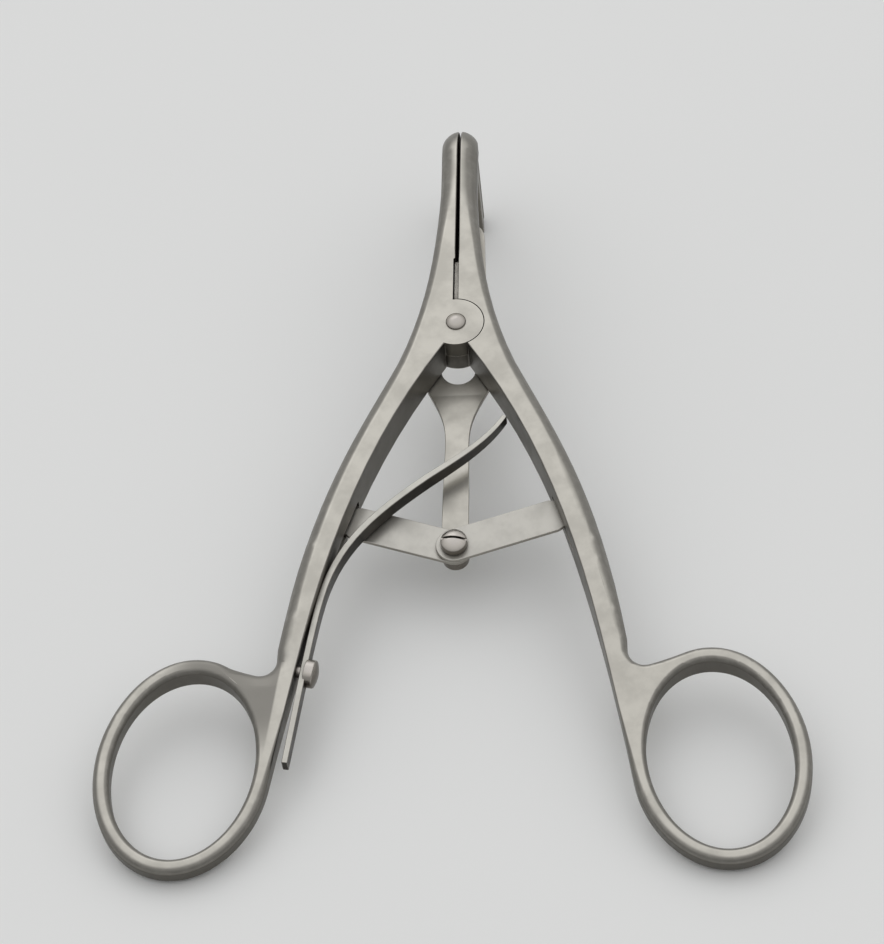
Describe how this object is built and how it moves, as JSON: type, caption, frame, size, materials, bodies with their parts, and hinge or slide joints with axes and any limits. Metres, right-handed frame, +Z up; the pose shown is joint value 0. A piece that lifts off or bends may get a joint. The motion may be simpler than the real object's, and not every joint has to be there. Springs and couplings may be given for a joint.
{
  "type": "three-bladed ring-handled retractor",
  "caption": "Ring-handled spreading retractor whose three bent prongs part when the sprung handles are squeezed.",
  "frame": {"origin": "middle of the instrument's footprint, on the surface it lies on", "axes": "+Y towards the blade tips, +X to the lever on the right as seen from above, +Z up from the table; the instrument lies tipped up on its rings and prong ends"},
  "size_m": [0.1006, 0.134, 0.0241],
  "materials": {
    "satin_steel": "satin",
    "bright_steel": "fine ground",
    "spring_steel": "satin",
    "fastener_steel": "polished"
  },
  "bodies": {
    "left_handle": {"left_lever": "satin_steel", "left_link_pin": "satin_steel", "leaf_spring": "spring_steel", "spring_screw": "fastener_steel"},
    "right_handle": {"right_lever": "satin_steel", "right_link_pin": "satin_steel"},
    "pivot": {"pivot_screw": "fastener_steel", "pivot_collar": "fastener_steel"},
    "middle": {"middle_blade": "bright_steel", "link_screw": "fastener_steel", "link_nut": "fastener_steel"},
    "left_arm": {"left_link": "bright_steel"},
    "right_arm": {"right_link": "bright_steel"}
  },
  "joints": [
    {"name": "handle_squeeze", "type": "hinge", "parent": "left_handle", "child": "right_handle", "pos_m": [0, 0.0233, 0.0157], "axis": [0, 0.1538, -0.9881], "range_deg": [0, 20], "stiffness_Nm_per_rad": 0.6, "springref_deg": -6.88, "deforming": ["leaf_spring"]},
    {"name": "pivot_turn", "type": "hinge", "parent": "left_handle", "child": "pivot", "pos_m": [0, 0.0233, 0.0157], "axis": [0, 0.1538, -0.9881], "range_deg": [0, 10]},
    {"name": "middle_slide", "type": "slide", "parent": "pivot", "child": "middle", "axis": [0, -0.9881, -0.1538], "range_m": [0, 0.01167]},
    {"name": "left_link_turn", "type": "hinge", "parent": "middle", "child": "left_arm", "pos_m": [0, -0.01395, 0.0099], "axis": [0, 0.1538, -0.9881], "range_deg": [0, 34.71]},
    {"name": "right_link_turn", "type": "hinge", "parent": "middle", "child": "right_arm", "pos_m": [0, -0.01395, 0.0099], "axis": [0, -0.1538, 0.9881], "range_deg": [0, 34.71]}
  ],
  "couplings": [
    {"joint": "pivot_turn", "follows": "handle_squeeze", "ratio": 0.5},
    {"joint": "middle_slide", "follows": "handle_squeeze", "m_per_rad": 0.03343},
    {"joint": "left_link_turn", "follows": "handle_squeeze", "ratio": 1.7352},
    {"joint": "right_link_turn", "follows": "handle_squeeze", "ratio": 1.7352}
  ]
}
